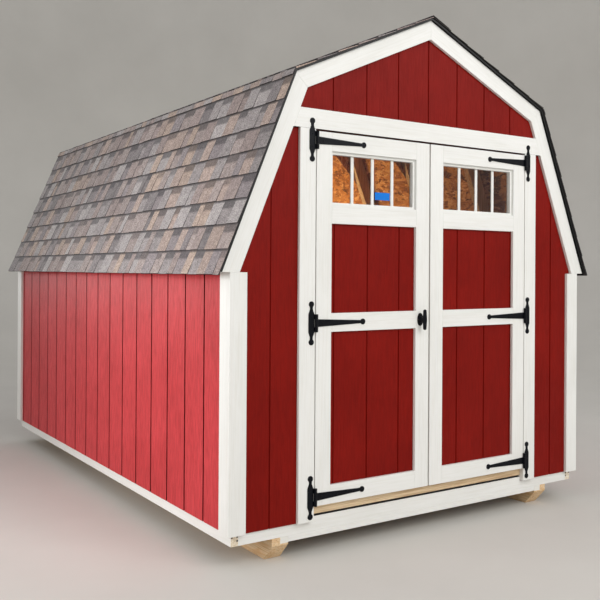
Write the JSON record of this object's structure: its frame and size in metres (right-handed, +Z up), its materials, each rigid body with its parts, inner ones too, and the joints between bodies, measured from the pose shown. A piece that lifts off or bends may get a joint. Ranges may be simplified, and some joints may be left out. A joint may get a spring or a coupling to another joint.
{
  "type": "mini barn",
  "caption": "Small gambrel-roofed storage barn on skids with red grooved siding, white trim, brown shingles and double doors with windows and strap hinges.",
  "frame": {"origin": "on the ground, under the middle of the whole barn's box", "axes": "+Z up, +Y from the doors to the back gable, +X to the right of someone facing the doors"},
  "size_m": [2.491, 3.515, 2.6691],
  "materials": {
    "red_siding": "satin paint on grooved wood-fibre panels",
    "white_paint": "satin paint on planed boards",
    "shingles": "asphalt shingles with mineral granules, blended browns",
    "black_metal_edge": "satin black",
    "black_iron": "satin black powder coat",
    "skid_wood": "bare treated lumber",
    "treated_pine": "bare treated lumber",
    "framing_pine": "bare planed pine",
    "sheet_wood": "bare strand board",
    "window_glass": "clear"
  },
  "bodies": {
    "barn": {"skids": "skid_wood", "skid_crosspieces": "white_paint", "side_rim_joists": "white_paint", "end_rim_joists": "white_paint", "floor_joists": "framing_pine", "floor_deck": "sheet_wood", "door_threshold": "treated_pine", "side_wall_plates": "framing_pine", "end_wall_plates": "framing_pine", "side_wall_studs": "framing_pine", "end_wall_studs": "framing_pine", "door_header": "framing_pine", "left_wall": "red_siding", "right_wall": "red_siding", "back_wall": "red_siding", "front_wall_left": "red_siding", "front_wall_right": "red_siding", "front_gable": "red_siding", "lower_rafters": "framing_pine", "upper_rafters": "framing_pine", "ridge_board": "framing_pine", "rafter_gussets": "sheet_wood", "roof_deck_lower": "sheet_wood", "roof_deck_upper_left": "sheet_wood", "roof_deck_upper_right": "sheet_wood", "lower_shingles": "shingles", "upper_shingles_left": "shingles", "upper_shingles_right": "shingles", "ridge_cap": "shingles", "drip_edges": "black_metal_edge", "lower_rakes": "white_paint", "upper_rakes_left": "white_paint", "upper_rakes_right": "white_paint", "end_corner_boards": "white_paint", "side_corner_boards": "white_paint", "front_header_board": "white_paint", "door_casings": "white_paint", "hinge_plates": "black_iron"},
    "left_door": {"left_door_panel": "red_siding", "left_door_stiles": "white_paint", "left_door_rails": "white_paint", "left_door_ledges": "white_paint", "left_window_frame": "white_paint", "left_window_glass": "window_glass", "left_hinge_straps": "black_iron", "handle_base": "black_iron"},
    "right_door": {"right_door_panel": "red_siding", "right_door_stiles": "white_paint", "right_door_rails": "white_paint", "right_door_ledges": "white_paint", "right_window_frame": "white_paint", "right_window_glass": "window_glass", "right_hinge_straps": "black_iron"},
    "t_handle": {"t_handle": "black_iron"}
  },
  "joints": [
    {"name": "left_door_swing", "type": "hinge", "parent": "barn", "child": "left_door", "pos_m": [-0.7165, -1.717, 1.099], "axis": [0, 0, -1], "range_deg": [0, 160]},
    {"name": "right_door_swing", "type": "hinge", "parent": "barn", "child": "right_door", "pos_m": [0.7165, -1.717, 1.099], "axis": [0, 0, 1], "range_deg": [0, 160]},
    {"name": "handle_turn", "type": "hinge", "parent": "left_door", "child": "t_handle", "pos_m": [-0.0645, -1.7085, 1.099], "axis": [0, -1, 0], "range_deg": [0, 90]}
  ]
}
